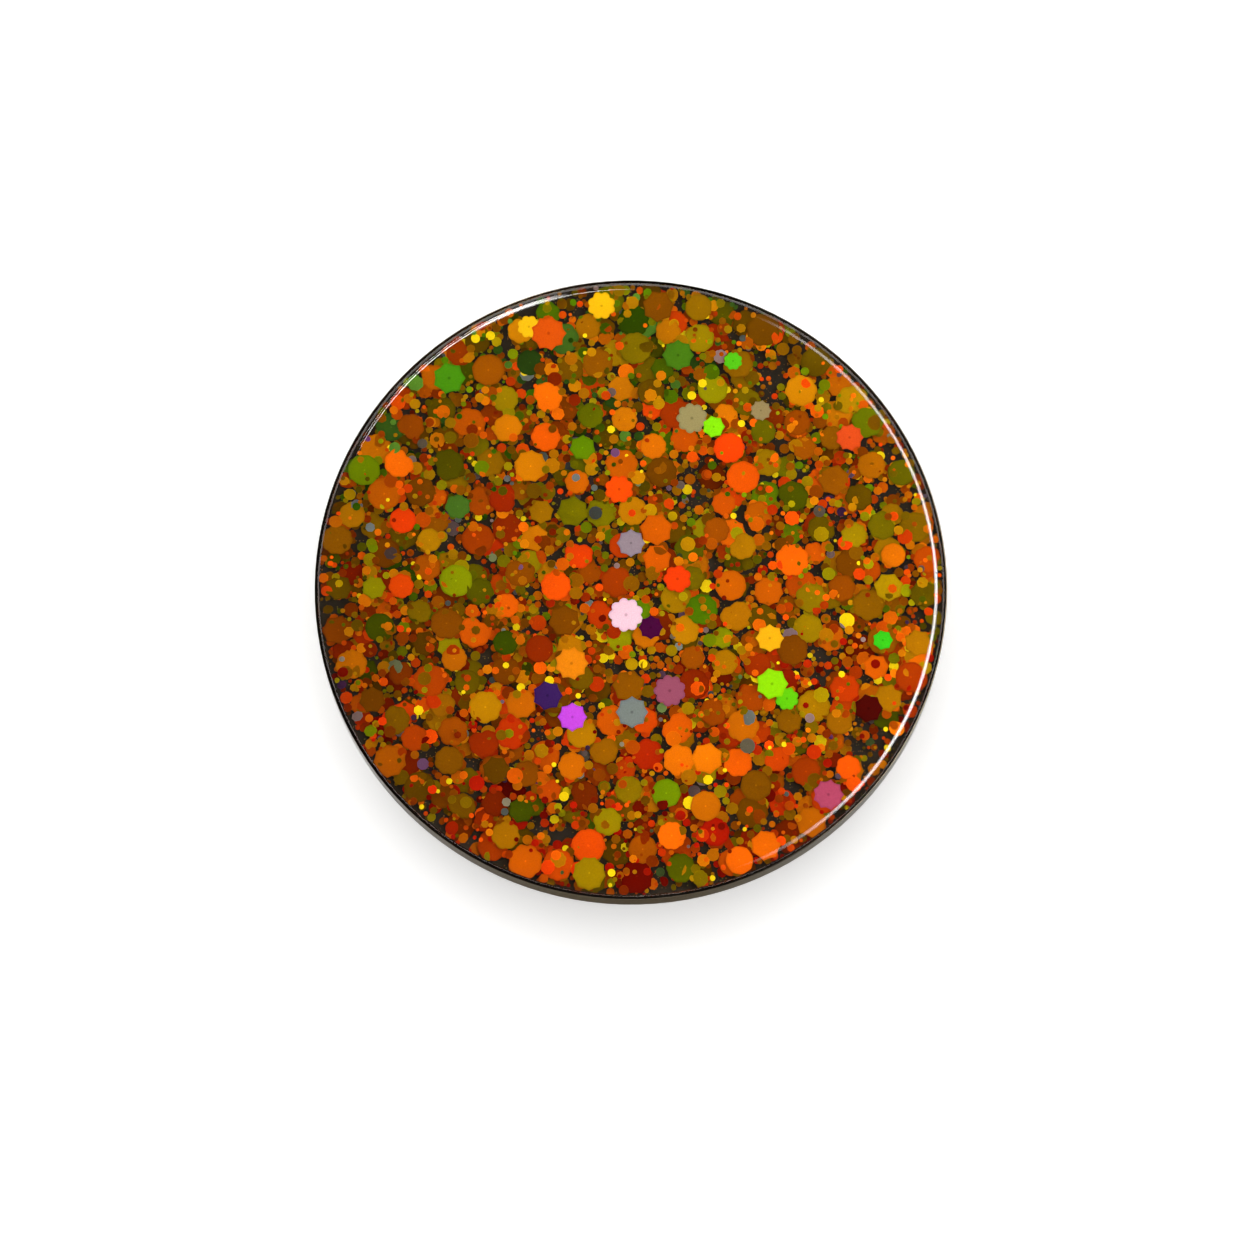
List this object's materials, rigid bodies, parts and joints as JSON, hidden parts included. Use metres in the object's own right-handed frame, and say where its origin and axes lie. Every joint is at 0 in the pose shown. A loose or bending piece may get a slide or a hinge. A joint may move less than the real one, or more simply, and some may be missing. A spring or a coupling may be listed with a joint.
{
  "type": "enamel pin",
  "caption": "Round domed glitter-enamel lapel pin with a black-nickel rim, posts on its back and sliding butterfly clutches with pinch wings.",
  "frame": {"origin": "centre of the flat ring round the back, on the plane that lies on the cloth", "axes": "+Z out of the pin's face; +X from the left post to the right post; the posts point along -Z"},
  "size_m": [0.032, 0.032, 0.011],
  "materials": {
    "black_nickel": "stamped steel, polished and plated in black nickel",
    "black_enamel": "very dark brown ground coat of enamel",
    "glitter_enamel": "clear enamel filled with orange, gold and olive film glitter in four cut sizes",
    "clear_epoxy": "clear glossy epoxy",
    "post_steel": "bright nickel plate",
    "solder": "dull tin solder",
    "clutch_nickel": "drawn sheet brass with bright nickel plate",
    "wing_nickel": "tumbled spring strip with nickel plate",
    "spring_steel": "drawn spring wire"
  },
  "bodies": {
    "pin": {"base_tray": "black_nickel", "black_enamel": "black_enamel", "glitter_coat": "glitter_enamel", "epoxy_dome": "clear_epoxy", "post_left": "post_steel", "solder_left": "solder", "post_right": "post_steel", "solder_right": "solder"},
    "clutch_left": {"clutch_face_left": "clutch_nickel", "clutch_cap_left": "clutch_nickel", "clutch_spring_left": "spring_steel"},
    "wing_back_left": {"clutch_wing_back_left": "wing_nickel"},
    "wing_front_left": {"clutch_wing_front_left": "wing_nickel"},
    "clutch_right": {"clutch_face_right": "clutch_nickel", "clutch_cap_right": "clutch_nickel", "clutch_spring_right": "spring_steel"},
    "wing_back_right": {"clutch_wing_back_right": "wing_nickel"},
    "wing_front_right": {"clutch_wing_front_right": "wing_nickel"}
  },
  "joints": [
    {"name": "clutch_slide_left", "type": "slide", "parent": "pin", "child": "clutch_left", "axis": [0, 0, -1], "range_m": [0, 0.008]},
    {"name": "wing_pinch_back_left", "type": "slide", "parent": "clutch_left", "child": "wing_back_left", "axis": [0, -1, 0], "range_m": [-0.00017, 0.00025], "stiffness_N_per_m": 2000, "springref_m": -0.0015, "deforming": ["clutch_spring_left"]},
    {"name": "wing_pinch_front_left", "type": "slide", "parent": "clutch_left", "child": "wing_front_left", "axis": [0, 1, 0], "range_m": [-0.00017, 0.00025], "stiffness_N_per_m": 2000, "springref_m": -0.0015},
    {"name": "clutch_slide_right", "type": "slide", "parent": "pin", "child": "clutch_right", "axis": [0, 0, -1], "range_m": [0, 0.008]},
    {"name": "wing_pinch_back_right", "type": "slide", "parent": "clutch_right", "child": "wing_back_right", "axis": [0, -1, 0], "range_m": [-0.00017, 0.00025], "stiffness_N_per_m": 2000, "springref_m": -0.0015, "deforming": ["clutch_spring_right"]},
    {"name": "wing_pinch_front_right", "type": "slide", "parent": "clutch_right", "child": "wing_front_right", "axis": [0, 1, 0], "range_m": [-0.00017, 0.00025], "stiffness_N_per_m": 2000, "springref_m": -0.0015}
  ],
  "couplings": [
    {"joint": "wing_pinch_front_left", "follows": "wing_pinch_back_left", "ratio": 1},
    {"joint": "wing_pinch_front_right", "follows": "wing_pinch_back_right", "ratio": 1}
  ]
}
